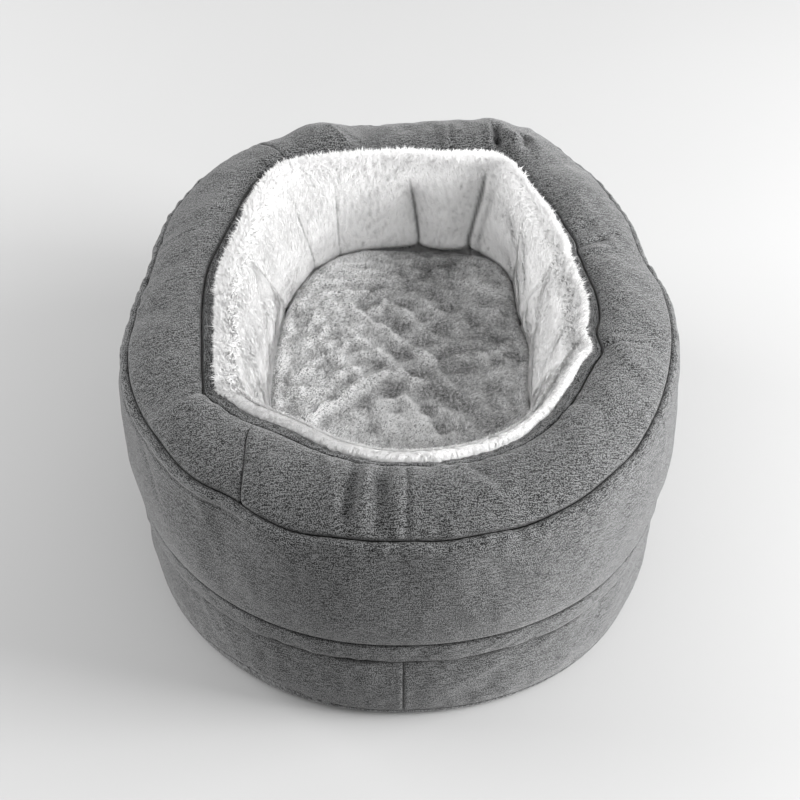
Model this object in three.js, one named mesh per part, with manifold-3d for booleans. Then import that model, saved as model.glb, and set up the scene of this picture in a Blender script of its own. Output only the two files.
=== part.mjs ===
// Dog nest bed: a deep padded ring on a low round base, with a loose floor cushion.
// Millimetres, +Z up, floor at z = 0. The front is -Y and +X is to the right.
// Every piece that is cut and sewn is one closed solid with its own share of the filling.

import * as THREE from 'three';
import { mergeVertices } from 'three/addons/utils/BufferGeometryUtils.js';
import Module from 'manifold-3d';

const wasm = await Module();
wasm.setup();

// Driving sizes

const GAP = 0.3;
const UNIFORM_SECTIONS = 96;

// Plan outlines are rounded rectangles: |x / halfWidth|^square + |y / halfDepth|^square = 1.
const RIM = { halfWidth: 259, halfDepth: 288.5, square: 2.24, z: 265 };
const MOUTH = { halfWidth: 191, halfDepth: 219, square: 2.2, z: 285 };
const WELL = { halfWidth: 130, halfDepth: 197, square: 2.8 };
const BASE_SPREAD = 9;
const BASE_HEIGHT = 101;
const BASE_CORE = 0.72;
const STRIP_TOP = 126;
const BOTTOM_SEAM = 12;
const CORE = { share: 0.52, z: 218 };
const CUSHION = { edge: 155, crown: 7, inset: 2, hem: 6 };

// From the point the outlines are drawn about to the middle of the whole bed.
const MIDDLE = { x: 0.47, y: -1.12 };

// Where an outline leaves its rounded rectangle: direction, distance outwards, spread in degrees.
const RIM_MARKS = [
  { at: -8, out: 3, spread: 14 },
  { at: 18, out: -11, spread: 9 },
  { at: 33, out: -6, spread: 8 },
  { at: 64, out: 17, spread: 13 },
  { at: 132, out: 6, spread: 13 },
  { at: 166, out: -8, spread: 14 },
  { at: -160, out: 6, spread: 14 },
  { at: -122, out: -6, spread: 5 },
];
const MOUTH_MARKS = [
  { at: -141, out: 16, spread: 14 },
  { at: -119, out: -6, spread: 14 },
  { at: -60, out: 6, spread: 22 },
  { at: -23, out: 4, spread: 7 },
  { at: 14, out: -9.5, spread: 12 },
  { at: 42, out: -6, spread: 14 },
  { at: 63, out: 19, spread: 10 },
  { at: 124, out: 17, spread: 14 },
  { at: 156, out: -3.5, spread: 9 },
];
const WELL_MARKS = [
  { at: 22, out: 6, spread: 12 },
  { at: 60, out: 20, spread: 14 },
  { at: 92, out: 19, spread: 28 },
  { at: 180, out: 3, spread: 30 },
  { at: -90, out: -14, spread: 40 },
];
const BASE_MARKS = [
  { at: -50, out: 3, spread: 20 },
  { at: -92, out: 3, spread: 22 },
  { at: -150, out: 2, spread: 16 },
];

// Rises and dips of the top panel's crown.
const CROWN_MARKS = [
  { at: 109, out: 8, spread: 8 },
  { at: 99, out: -8, spread: 5 },
  { at: 88, out: -3, spread: 6 },
  { at: 74, out: 7, spread: 7 },
  { at: 65, out: -5, spread: 3.5 },
  { at: 16, out: -5, spread: 5 },
  { at: -89.5, out: 1, spread: 1.8 },
  { at: -93, out: -4.5, spread: 2.2 },
  { at: -97, out: 1, spread: 1.5 },
  { at: -99.3, out: -3.5, spread: 1.6 },
  { at: -102.5, out: 1, spread: 2 },
  { at: -141, out: 2, spread: 8 },
];
const CROWN = { height: 14, fullness: 0.6 };

// The two cross seams of the top panel: direction at the opening and at the outer seam.
const FRONT_CROSS_SEAM = { mouth: 232.2, rim: 240.2 };
const BACK_CROSS_SEAM = { mouth: 120.8, rim: 123.3 };

// The block that cuts the short piece out runs past the panel by these distances.
const CUTTER = { inwards: 30, outwards: 60, reach: 400 };

// Creases of the inner wall: direction at the rim and at the foot, depth and spread.
const CREASES = [
  { rim: 88, foot: 84, depth: 7, spread: 2.4 },
  { rim: 61, foot: 68, depth: 9, spread: 3.2 },
  { rim: 130, foot: 124, depth: 3.5, spread: 2.6 },
  { rim: 111, foot: 110.5, depth: 2.5, spread: 2.4 },
  { rim: 158, foot: 143, depth: 3, spread: 2.6 },
  { rim: 15, foot: 28, depth: 3.5, spread: 3.2 },
  { rim: -23, foot: -8, depth: 3.5, spread: 3.2 },
  { rim: -55, foot: -57, depth: 3.5, spread: 3 },
  { rim: -98, foot: -95, depth: 4, spread: 3 },
  { rim: -141, foot: -134, depth: 3.5, spread: 3 },
];
const CREASE_RUN = { top: 283, foot: 160, fadeRate: 3 };

// The upright seam of the base band, a soft groove at the front.
const BAND_SEAM = { at: -89.5, depth: 1.5, spread: 1.2 };

// Cross-sections. out is the distance outside the named plan line, z the height above the floor
// unless the table says otherwise.

// Side panel, outside the line from the rim to the base, from the outer seam down to its rolled edge.
const SIDE_SECTION = [
  { out: 0, z: 264.6 },
  { out: 5, z: 259 },
  { out: 9, z: 245 },
  { out: 11, z: 222 },
  { out: 10.5, z: 195 },
  { out: 8.5, z: 170 },
  { out: 6, z: 150 },
  { out: 4, z: 138 },
  { out: 1.5, z: 129.8 },
  { out: -5, z: 126.3 },
];
const SIDE_UNDERSIDE = -5;

// Closure strip, outside the base line.
const STRIP_SECTION = [
  { out: -4.6, z: 126 },
  { out: -0.6, z: 126 },
  { out: 1.2, z: 120 },
  { out: 1.3, z: 109 },
  { out: 0, z: 101.7 },
  { out: -4.6, z: 101.3 },
];

// Base band, outside the base line, from its tucked top edge down to the bottom seam.
const BAND_SECTION = [
  { out: -12, z: 100.6 },
  { out: -7, z: 98.5 },
  { out: -4, z: 90 },
  { out: -2.5, z: 70 },
  { out: -1.5, z: 48 },
  { out: -2.5, z: 28 },
  { out: -4.5, z: 12.15 },
];

// Rolled edge of the bottom panel, outside the base line, from the bottom seam to the floor.
const BOTTOM_EDGE = [
  { out: -4.5, z: 11.85 },
  { out: -6, z: 6 },
  { out: -10, z: 1.8 },
  { out: -17, z: 0 },
];

// Opening binding, outside the opening seam, z from that seam.
const BINDING_SECTION = [
  { out: -0.3, z: -1.2 },
  { out: -2.6, z: 0 },
  { out: -6.4, z: -0.6 },
  { out: -8.6, z: -2.4 },
  { out: -8.2, z: -4.6 },
  { out: -0.3, z: -4.4 },
];

// Inner wall. lean is the share of the way from the opening seam to the well's outline.
const WALL_SECTION = [
  { lean: 0, out: -9, z: 282.2 },
  { lean: 0, out: -10.5, z: 288 },
  { lean: 0, out: -15, z: 291 },
  { lean: 0.1, out: -17, z: 286 },
  { lean: 0.3, out: -14, z: 269 },
  { lean: 0.55, out: -9, z: 244 },
  { lean: 0.8, out: -5, z: 214 },
  { lean: 0.97, out: -1, z: 188 },
  { lean: 1, out: 0, z: 175 },
  { lean: 1, out: 3, z: 165 },
  { lean: 1, out: 9, z: 155 },
  { lean: 1, out: 12, z: 140 },
  { lean: 1, out: 12, z: 101.4 },
];
const WALL_LEDGE = { below: 5.2, depth: 8.7 };

// Floor cushion, from its bottom edge over the side to the top edge. out is from the well's outline.
const CUSHION_EDGE = [
  { out: -22, z: 101.4 },
  { out: -6, z: 103 },
  { out: 4, z: 109 },
  { out: 9, z: 120 },
  { out: 9, z: 132 },
  { out: 6, z: 143 },
  { out: 0, z: 150 },
];
const CUSHION_RINGS = [0.94, 0.84, 0.76, 0.68, 0.6, 0.52, 0.44, 0.36, 0.27, 0.18, 0.09];

// Folds of the cushion's cover: the two ends of each ridge or hollow, its height and half width.
const CUSHION_FOLDS = [
  { x1: -89, y1: -49, x2: -21, y2: -1, up: 5, wide: 10 },
  { x1: -46, y1: 54, x2: 11, y2: -8, up: 4, wide: 10 },
  { x1: -118, y1: 117, x2: -43, y2: 72, up: 4, wide: 10 },
  { x1: -43, y1: 72, x2: -1, y2: 44, up: 3, wide: 10 },
  { x1: -109, y1: 153, x2: -1, y2: 147, up: 3, wide: 9 },
  { x1: -77, y1: 179, x2: 21, y2: 159, up: 3, wide: 8 },
  { x1: -1, y1: -45, x2: 34, y2: -85, up: 4, wide: 13 },
  { x1: 56, y1: 22, x2: 95, y2: 47, up: 3, wide: 11 },
  { x1: -113, y1: 54, x2: -73, y2: 44, up: 3, wide: 10 },
  { x1: -67, y1: 6, x2: -29, y2: 4, up: 3, wide: 10 },
  { x1: -13, y1: -13, x2: 1, y2: -24, up: -4, wide: 11 },
  { x1: -8, y1: 70, x2: 10, y2: 67, up: -4, wide: 10 },
  { x1: 41, y1: 73, x2: 47, y2: 58, up: -3, wide: 10 },
  { x1: 25, y1: 125, x2: 52, y2: 106, up: -3, wide: 11 },
  { x1: 72, y1: 54, x2: 96, y2: 66, up: -3, wide: 10 },
];

// Plan outlines and folds

const degrees = (angle) => (angle * Math.PI) / 180;
const wrapped = (angle) => ((((angle + 180) % 360) + 360) % 360) - 180;
const mix = (a, b, t) => a + (b - a) * t;
const bell = (distance, spread) => Math.exp(-((distance / spread) ** 2));

// The sum of a table's rows in one direction.
function marksAt(rows, angle) {
  return rows.reduce((sum, row) => sum + row.out * bell(wrapped(angle - row.at), row.spread), 0);
}

// Distance of a rounded rectangle from the middle, in one direction.
function outlineRadius(plan, angle) {
  const x = Math.abs(Math.cos(degrees(angle)) / plan.halfWidth) ** plan.square;
  const y = Math.abs(Math.sin(degrees(angle)) / plan.halfDepth) ** plan.square;
  return (x + y) ** (-1 / plan.square);
}

const rimRadius = (angle) => outlineRadius(RIM, angle) + marksAt(RIM_MARKS, angle);
const mouthRadius = (angle) => outlineRadius(MOUTH, angle) + marksAt(MOUTH_MARKS, angle);
const wellRadius = (angle) => outlineRadius(WELL, angle) + marksAt(WELL_MARKS, angle);
const baseRadius = (angle) => outlineRadius(RIM, angle) + BASE_SPREAD + marksAt(BASE_MARKS, angle);
const bandGroove = (angle) => BAND_SEAM.depth * bell(wrapped(angle - BAND_SEAM.at), BAND_SEAM.spread);

// How far the inner wall is pressed back by its creases, at one direction and height.
function creaseDepth(angle, z) {
  const { top, foot, fadeRate } = CREASE_RUN;
  const down = THREE.MathUtils.clamp((top - z) / (top - foot), 0, 1);
  const fade = Math.min(1, down * fadeRate);
  return CREASES.reduce((sum, crease) => {
    const at = mix(crease.rim, crease.foot, down);
    return sum + crease.depth * fade * bell(wrapped(angle - at), crease.spread);
  }, 0);
}

// Height that one fold of the cushion's cover adds at a point: a bell across a straight line.
function foldHeight(fold, x, y) {
  const start = new THREE.Vector3(fold.x1, fold.y1, 0);
  const end = new THREE.Vector3(fold.x2, fold.y2, 0);
  const point = new THREE.Vector3(x, y, 0);
  const nearest = new THREE.Line3(start, end).closestPointToPoint(point, true, new THREE.Vector3());
  return fold.up * bell(point.distanceTo(nearest), fold.wide);
}

// Directions of the sections: an even round, with extra ones beside the deep creases.
const EXTRA_SECTIONS = [59, 62.3, 66, 69.2, 83.2, 85.6, 88.4, -99.4, -95.6, -92, -140.2, -24.8];
const ANGLES = Array.from({ length: UNIFORM_SECTIONS }, (_, i) => (i * 360) / UNIFORM_SECTIONS)
  .concat(EXTRA_SECTIONS.map((angle) => (angle + 360) % 360))
  .sort((a, b) => a - b);
const CUSHION_ANGLES = ANGLES.filter((_, i) => i % 3 !== 2);

// Section points in the plane of one direction: x is the distance from the middle, y the height.
// A section runs anticlockwise: outwards below, up the outside and back over the top.

const at = (radius, z) => new THREE.Vector2(radius, z);

function coreAt(angle) {
  return at(mix(mouthRadius(angle), rimRadius(angle), CORE.share), CORE.z);
}

function wallFootAt(angle) {
  return at((wellRadius(angle) + baseRadius(angle)) / 2, BASE_HEIGHT + GAP);
}

// The corner of a piece at the core, half a gap inside the two cuts that meet there.
function cornerAt(from, corner, to) {
  const leftOf = (a, b) => at(a.y - b.y, b.x - a.x).normalize();
  const first = leftOf(from, corner);
  const second = leftOf(corner, to);
  const reach = GAP / 2 / (1 + first.dot(second));
  return first.clone().add(second).multiplyScalar(reach).add(corner);
}

// Top panel: share 0 is the opening seam and share 1 the outer seam.
const PANEL_SHARES = [1, 0.98, 0.93, 0.84, 0.71, 0.55, 0.38, 0.22, 0.1, 0.02, 0];
const PANEL_EDGE_DROP = 4;

function panelHeight(angle, share) {
  const swell = (4 * share * (1 - share)) ** CROWN.fullness;
  return mix(MOUTH.z, RIM.z, share) + (CROWN.height + marksAt(CROWN_MARKS, angle)) * swell;
}

function panelSection(angle) {
  const inner = mouthRadius(angle) + GAP / 2;
  const outer = rimRadius(angle);
  const low = at(inner, MOUTH.z - PANEL_EDGE_DROP);
  const top = PANEL_SHARES.map((share) => at(mix(inner, outer, share), panelHeight(angle, share)));
  return [low, cornerAt(low, coreAt(angle), top[0]), ...top];
}

// Side panel: its outer face, the face against the closure strip, the foot and the cut up to the core.
function sideSection(angle) {
  const rim = rimRadius(angle);
  const base = baseRadius(angle);
  const foot = wallFootAt(angle);
  const outer = SIDE_SECTION.map((row) => {
    const lower = THREE.MathUtils.smoothstep(RIM.z - row.z, 0, RIM.z - STRIP_TOP);
    return at(mix(rim, base, lower) + row.out, row.z);
  });
  const core = cornerAt(outer[0], coreAt(angle), foot);
  return [at(foot.x + GAP / 2, foot.y), at(base + SIDE_UNDERSIDE, foot.y), ...outer.reverse(), core];
}

function wallPoint(angle, row) {
  const radius = mix(mouthRadius(angle), wellRadius(angle), row.lean) + row.out;
  return at(radius + creaseDepth(angle, row.z), row.z);
}

// Inner wall: the foot, the cut up to the core, the ledge under the binding and the pile face.
function wallSection(angle) {
  const foot = wallFootAt(angle);
  const mouth = mouthRadius(angle);
  const ledgeHeight = MOUTH.z - WALL_LEDGE.below;
  const ledge = [at(mouth, ledgeHeight), at(mouth - WALL_LEDGE.depth, ledgeHeight)];
  const core = cornerAt(foot, coreAt(angle), ledge[0]);
  const face = WALL_SECTION.map((row) => wallPoint(angle, row));
  return [at(foot.x - GAP / 2, foot.y), core, ...ledge, ...face];
}

function bindingSection(angle) {
  return BINDING_SECTION.map((row) => at(mouthRadius(angle) + row.out, MOUTH.z + row.z));
}

function stripSection(angle) {
  return STRIP_SECTION.map((row) => at(baseRadius(angle) + row.out, row.z)).reverse();
}

// Base band: its outer face and the cut down from the base's top to the bottom seam.
function bandSection(angle) {
  const base = baseRadius(angle);
  const face = BAND_SECTION.map((row) => {
    const fromTop = (BASE_HEIGHT - row.z) / BOTTOM_SEAM;
    const fromSeam = (row.z - BOTTOM_SEAM) / BOTTOM_SEAM;
    return at(base + row.out - bandGroove(angle) * Math.min(1, fromTop, fromSeam), row.z);
  });
  return [...face.reverse(), at(base * BASE_CORE + GAP, BAND_SECTION[0].z)];
}

// Meshes

function toSpace(angle, point) {
  const turn = degrees(angle);
  return new THREE.Vector3(point.x * Math.cos(turn), point.x * Math.sin(turn), point.y);
}

// One closed skin over rows of points. Each row is a closed section. Neighbours that share a face
// split it along the same diagonal, the one that rises with the angle.
function skin(rows) {
  const count = rows[0].length;
  const positions = rows.flat().flatMap((p) => [p.x, p.y, p.z]);
  const indices = [];
  for (let i = 0; i < rows.length; i += 1) {
    const next = (i + 1) % rows.length;
    for (let j = 0; j < count; j += 1) {
      const k = (j + 1) % count;
      const [a, b, c, d] = [i * count + j, next * count + j, next * count + k, i * count + k];
      const rising = rows[i][k].z > rows[i][j].z;
      indices.push(...(rising ? [a, b, c, a, c, d] : [a, b, d, b, c, d]));
    }
  }
  return { positions, indices };
}

// A round piece with a middle: the lower pole, circles of points from below to above, the upper pole.
function disc(lower, circles, upper) {
  const count = circles[0].length;
  const positions = [lower, ...circles.flat(), upper].flatMap((p) => [p.x, p.y, p.z]);
  const top = positions.length / 3 - 1;
  const indices = [];
  for (let j = 0; j < count; j += 1) {
    const k = (j + 1) % count;
    indices.push(0, 1 + k, 1 + j);
    indices.push(top, top - count + j, top - count + k);
    for (let i = 0; i < circles.length - 1; i += 1) {
      const [a, b] = [1 + i * count + j, 1 + i * count + k];
      indices.push(a, b, b + count, a, b + count, a + count);
    }
  }
  return { positions, indices };
}

function geometryOf({ positions, indices }) {
  const geometry = new THREE.BufferGeometry();
  geometry.setAttribute('position', new THREE.Float32BufferAttribute(positions, 3));
  geometry.setIndex(indices);
  geometry.computeVertexNormals();
  return geometry;
}

// A band of cloth that runs all the way round.
function ring(sectionAt) {
  return geometryOf(skin(ANGLES.map((angle) => sectionAt(angle).map((p) => toSpace(angle, p)))));
}

// One level circle of points for each row of a table.
function circlesOf(rows, angles, radiusAt) {
  return rows.map((row) => angles.map((angle) => toSpace(angle, at(radiusAt(angle) + row.out, row.z))));
}

function solidOf(geometry) {
  const bare = geometry.clone().deleteAttribute('normal').deleteAttribute('uv');
  const { attributes, index } = mergeVertices(bare);
  const triVerts = new Uint32Array(index.array);
  return new wasm.Manifold(new wasm.Mesh({ numProp: 3, vertProperties: attributes.position.array, triVerts }));
}

function geometryFrom(solid) {
  const { vertProperties, triVerts } = solid.getMesh();
  return geometryOf({ positions: Array.from(vertProperties), indices: Array.from(triVerts) });
}

// The two ends of a cross seam, run on past the panel's edges and moved to its left.
function seamLine(seam, shift) {
  const mouth = toSpace(seam.mouth, at(mouthRadius(seam.mouth), 0));
  const rim = toSpace(seam.rim, at(rimRadius(seam.rim), 0));
  const along = rim.clone().sub(mouth).normalize();
  const aside = new THREE.Vector3(-along.y, along.x, 0).multiplyScalar(shift);
  const inner = mouth.clone().addScaledVector(along, -CUTTER.inwards).add(aside);
  const outer = rim.clone().addScaledVector(along, CUTTER.outwards).add(aside);
  return [inner, outer];
}

// A block over the short piece of the top panel, larger all round by the given margin.
function shortPieceBlock(margin) {
  const [backInner, backOuter] = seamLine(BACK_CROSS_SEAM, -margin);
  const [frontInner, frontOuter] = seamLine(FRONT_CROSS_SEAM, margin);
  const backCorner = new THREE.Vector2(-CUTTER.reach, backOuter.y);
  const frontCorner = new THREE.Vector2(-CUTTER.reach, frontOuter.y);
  const corners = [frontInner, backInner, backOuter, backCorner, frontCorner, frontOuter];
  const outline = new THREE.Shape(corners.map((p) => new THREE.Vector2(p.x, p.y)));
  const block = new THREE.ExtrudeGeometry(outline, { depth: RIM.z, bevelEnabled: false });
  return solidOf(block.translate(0, 0, CORE.z / 2));
}

// Bottom panel: flat on the floor, rolled up to the bottom seam, with the base's filling above it.
function bottomPanel() {
  const top = BAND_SECTION[0].z;
  const edge = circlesOf([...BOTTOM_EDGE].reverse(), ANGLES, baseRadius);
  const shoulder = ANGLES.map((angle) => toSpace(angle, at(baseRadius(angle) * BASE_CORE - GAP, top)));
  return geometryOf(disc(new THREE.Vector3(0, 0, 0), [...edge, shoulder], new THREE.Vector3(0, 0, top)));
}

// Floor cushion: drawn-in sides, a crowned top and the main folds of its cover.
function cushionTop(x, y, share) {
  const folds = CUSHION_FOLDS.reduce((sum, fold) => sum + foldHeight(fold, x, y), 0);
  return CUSHION.edge + CUSHION.crown * (1 - share ** 2) + folds * Math.min(1, (1 - share) * CUSHION.hem);
}

function cushionRing(share) {
  return CUSHION_ANGLES.map((angle) => {
    const flat = toSpace(angle, at((wellRadius(angle) - CUSHION.inset) * share, 0));
    return flat.setZ(cushionTop(flat.x, flat.y, share));
  });
}

function floorCushion() {
  const edge = circlesOf(CUSHION_EDGE, CUSHION_ANGLES, wellRadius);
  const rings = CUSHION_RINGS.map(cushionRing);
  const bottom = new THREE.Vector3(0, 0, CUSHION_EDGE[0].z);
  return geometryOf(disc(bottom, [...edge, ...rings], new THREE.Vector3(0, 0, cushionTop(0, 0, 0))));
}

// Materials and assembly

function cloth(name, color) {
  return new THREE.MeshStandardMaterial({ name, color, roughness: 0.92, metalness: 0 });
}

const outerCloth = cloth('outer_cloth', 0x77777a);
const paleFur = cloth('pale_fur', 0xe6e5e3);
const greyPlush = cloth('grey_plush', 0x9a999a);

const bed = new THREE.Group();
bed.name = 'dog_nest_bed';

function add(name, geometry, material) {
  const mesh = new THREE.Mesh(geometry.translate(-MIDDLE.x, -MIDDLE.y, 0), material.clone());
  mesh.name = name;
  bed.add(mesh);
}

const wholePanel = solidOf(ring(panelSection));
add('top_panel_short', geometryFrom(wholePanel.intersect(shortPieceBlock(-GAP / 2))), outerCloth);
add('top_panel_long', geometryFrom(wholePanel.subtract(shortPieceBlock(GAP / 2))), outerCloth);
add('side_panel', ring(sideSection), outerCloth);
add('opening_binding', ring(bindingSection), outerCloth);
add('inner_wall', ring(wallSection), paleFur);
add('closure_strip', ring(stripSection), outerCloth);
add('base_band', ring(bandSection), outerCloth);
add('bottom_panel', bottomPanel(), outerCloth);
add('floor_cushion', floorCushion(), greyPlush);

export default bed;
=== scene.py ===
# %% [markdown]
# # A nest bed for a small dog
# The real bed is one padded ring on a low padded base, with a loose cushion inside.
# Nine cut and sewn pieces make it: two top panels, a side panel, a binding round the opening,
# an inner wall of pale long pile, a closing strip, a base band, a bottom panel and the cushion.
# The cells below make them as surfaces worked out with numpy. Lengths are in millimetres until
# the mesh is made, and the bed's middle on the floor is the origin.

import bpy
import numpy as np
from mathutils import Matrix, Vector


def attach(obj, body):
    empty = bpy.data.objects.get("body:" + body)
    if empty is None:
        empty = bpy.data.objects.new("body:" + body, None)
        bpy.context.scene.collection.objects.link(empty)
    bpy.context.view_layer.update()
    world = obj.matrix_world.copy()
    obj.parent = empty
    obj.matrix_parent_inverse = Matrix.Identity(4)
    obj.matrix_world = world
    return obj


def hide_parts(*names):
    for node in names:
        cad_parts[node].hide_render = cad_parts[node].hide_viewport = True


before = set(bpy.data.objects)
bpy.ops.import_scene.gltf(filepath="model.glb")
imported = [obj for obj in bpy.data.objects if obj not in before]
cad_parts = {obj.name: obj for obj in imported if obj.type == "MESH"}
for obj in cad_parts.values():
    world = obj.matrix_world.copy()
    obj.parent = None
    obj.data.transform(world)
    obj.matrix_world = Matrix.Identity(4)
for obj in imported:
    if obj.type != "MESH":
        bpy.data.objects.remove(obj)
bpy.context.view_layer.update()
print("solid pieces:", ", ".join(sorted(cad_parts)))

# %% [markdown]
# ## The camera
# It stands in front of the bed and looks down at it by 47 degrees. Its place was found by
# fitting the seams of the solid model to the same seams in the picture of the real bed.

# %% The camera
CAMERA_PLACE = Vector((-0.00119, -1.19335, 1.4202))
CAMERA_TARGET = Vector((-0.00119, 0.12542, 0.0))
SENSOR_WIDTH, FOCAL_LENGTH = 36, 76.5

lens = bpy.data.cameras.new("front_camera")
lens.sensor_width = SENSOR_WIDTH
lens.lens = FOCAL_LENGTH
camera = bpy.data.objects.new("front_camera", lens)
camera.location = CAMERA_PLACE
camera.rotation_euler = (CAMERA_TARGET - CAMERA_PLACE).to_track_quat("-Z", "Y").to_euler()
bpy.context.scene.collection.objects.link(camera)
bpy.context.scene.camera = camera
print("distance to the target:", round((CAMERA_TARGET - CAMERA_PLACE).length, 3))

# %% [markdown]
# ## Outlines seen from above
# Every seam of the bed runs round a squarish oval. Sewing and stuffing push it in and out here
# and there, so each outline is an oval plus a short table of bulges: the direction in degrees,
# how far out, and how wide. The same tables shape the solid model, so the pieces fit each other.

# %% Outlines
GAP = 0.3
MIDDLE = np.array([0.47, -1.12])
RIM = {"half_width": 259, "half_depth": 288.5, "square": 2.24}
MOUTH = {"half_width": 191, "half_depth": 219, "square": 2.2}
WELL = {"half_width": 130, "half_depth": 197, "square": 2.8}
RIM_Z, MOUTH_Z, STRIP_TOP, BASE_TOP, BOTTOM_SEAM = 265, 285, 126, 101, 12
BASE_SPREAD = 9
CORE_SHARE, CORE_Z = 0.52, 218
# about how far each piece is from the middle, which turns an angle into a run in mm
TOP_REACH, SIDE_REACH, BAND_REACH = 240, 270, 290

# direction, out, spread
RIM_BULGES = [(-8, 3, 14), (18, -11, 9), (33, -6, 8), (64, 17, 13), (132, 6, 13),
              (166, -8, 14), (-160, 6, 14), (-122, -6, 5)]
MOUTH_BULGES = [(-141, 16, 14), (-119, -6, 14), (-60, 6, 22), (-23, 4, 7), (14, -9.5, 12),
                (42, -6, 14), (63, 19, 10), (124, 17, 14), (156, -3.5, 9)]
MOUTH_CORNERS = [(30, -5, 7), (19, -2, 2.5), (-23, 2.5, 2.5), (-16, -3.5, 3.5), (-143.5, 4, 2.5),
                 (-136, -1.5, 4), (147, -2, 4)]
WELL_BULGES = [(22, 6, 12), (60, 20, 14), (92, 19, 28), (180, 3, 30), (-90, -14, 40)]
BASE_BULGES = [(-50, 3, 20), (-92, 3, 22), (-150, 2, 16)]


def mix(a, b, share):
    """a, then b as share goes from 0 to 1."""
    return a + (b - a) * share


def smooth(value, low, high):
    """0 below low, 1 above high, and 3t^2 - 2t^3 between them."""
    t = np.clip((value - low) / (high - low), 0, 1)
    return t * t * (3 - 2 * t)


def bell(distance, spread):
    """exp(-(distance / spread)^2)."""
    return np.exp(-((distance / spread) ** 2))


def turn_from(angle, at):
    """The turn from one direction to another, from -180 to 180 degrees."""
    return (angle - at + 180) % 360 - 180


def bulges(angle, rows):
    """The sum of out x bell(turn from the row's direction, spread) over a table's rows."""
    return sum(out * bell(turn_from(np.asarray(angle, float), at), spread) for at, out, spread in rows)


def oval(angle, plan):
    """(|cos / half_width|^square + |sin / half_depth|^square) ^ (-1 / square)."""
    turn = np.radians(angle)
    x = np.abs(np.cos(turn) / plan["half_width"]) ** plan["square"]
    y = np.abs(np.sin(turn) / plan["half_depth"]) ** plan["square"]
    return (x + y) ** (-1 / plan["square"])


def rim_radius(angle):
    """Outline of the outer seam of the top."""
    return oval(angle, RIM) + bulges(angle, RIM_BULGES)


def mouth_radius(angle):
    """Outline of the opening's seam, with the small corners where the seam is pulled."""
    return oval(angle, MOUTH) + bulges(angle, MOUTH_BULGES) + bulges(angle, MOUTH_CORNERS)


# direction, share of the binding's full width
BINDING_WIDTH = [(-180, 1.3), (-143, 1.4), (-115, 1.25), (-92, 0.65), (-70, 1), (-45, 1.45), (-20, 1.15),
                 (5, 1.1), (22, 0.85), (40, 0.5), (55, 0.25), (118, 0.2), (132, 0.6), (150, 1), (180, 1.3)]


def binding_share(angle):
    """How much of the binding's full width shows, from a table round the opening: the fur falls
    over it at the back, and at the left and the front right it lies open."""
    turns, widths = np.array(BINDING_WIDTH).T
    return np.interp(turn_from(np.asarray(angle, float), 0), turns, widths)


def well_radius(angle):
    """Outline of the inner wall low down, where it meets the cushion."""
    return oval(angle, WELL) + bulges(angle, WELL_BULGES)


def base_radius(angle):
    """Outline of the base: the outer seam's oval, a little wider."""
    return oval(angle, RIM) + BASE_SPREAD + bulges(angle, BASE_BULGES)


def seam_wave(angle):
    """A sewn seam is never level: cos(9a + 1) + cos(16a + 2) + 0.8 cos(27a + 4) mm."""
    a = np.radians(angle)
    return np.cos(9 * a + 1) + np.cos(16 * a + 2) + 0.8 * np.cos(27 * a + 4)


def rim_shade(angle):
    """How dark the painted shade in the outer seam's groove is: 0.7 + 0.12 cos(11a) + 0.12 cos(23a + 2)
    - 0.1 cos a.
    """
    a = np.radians(angle)
    return 0.7 + 0.12 * np.cos(11 * a) + 0.12 * np.cos(23 * a + 2) - 0.1 * np.cos(a)


def place(angle, radius, z):
    """Points from a direction, a distance from the middle and a height, in the bed's frame."""
    turn = np.radians(angle)
    x, y, z = np.broadcast_arrays(radius * np.cos(turn), radius * np.sin(turn), z)
    return np.stack([x - MIDDLE[0], y - MIDDLE[1], z], axis=-1)


def direction(x, y):
    """The direction of points from the middle of the outlines, in degrees."""
    return np.degrees(np.arctan2(y + MIDDLE[1], x + MIDDLE[0]))


print("across the outer seam:", round(float(rim_radius(0) + rim_radius(180))), "mm")

# %% [markdown]
# ## Softness
# Stuffed cloth is never even. Four helpers make it so: soft seeded noise as a sum of waves, folds
# as bells across short straight lines, a lift that moves a grid along its own normals, and how
# strong the puckers of a seam are at a distance from it.

# %% Soft noise, folds, lift and puckers
def soft_noise(points, size, seed, waves=28):
    """The sum of `waves` cosines with wavelengths about `size`, seeded, scaled to a spread of 1."""
    chance = np.random.default_rng(seed)
    flat = np.asarray(points, float)
    turn = chance.normal(size=(flat.shape[-1], waves))
    turn /= np.linalg.norm(turn, axis=0)
    turn *= 2 * np.pi / (size * chance.uniform(0.65, 1.6, waves))
    phase = chance.uniform(0, 2 * np.pi, waves)
    return np.cos(flat @ turn + phase).sum(-1) * np.sqrt(2 / waves)


def to_line(x, y, x1, y1, x2, y2):
    """Distance to a straight line between two points."""
    dx, dy = x2 - x1, y2 - y1
    share = np.clip(((x - x1) * dx + (y - y1) * dy) / (dx * dx + dy * dy), 0, 1)
    return np.hypot(x - x1 - share * dx, y - y1 - share * dy)


def folds(x, y, rows):
    """The sum of up x bell(distance to the fold's line, wide) over rows of x1, y1, x2, y2, up, wide."""
    return sum(row[4] * bell(to_line(x, y, *row[:4]), row[5]) for row in rows)


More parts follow.
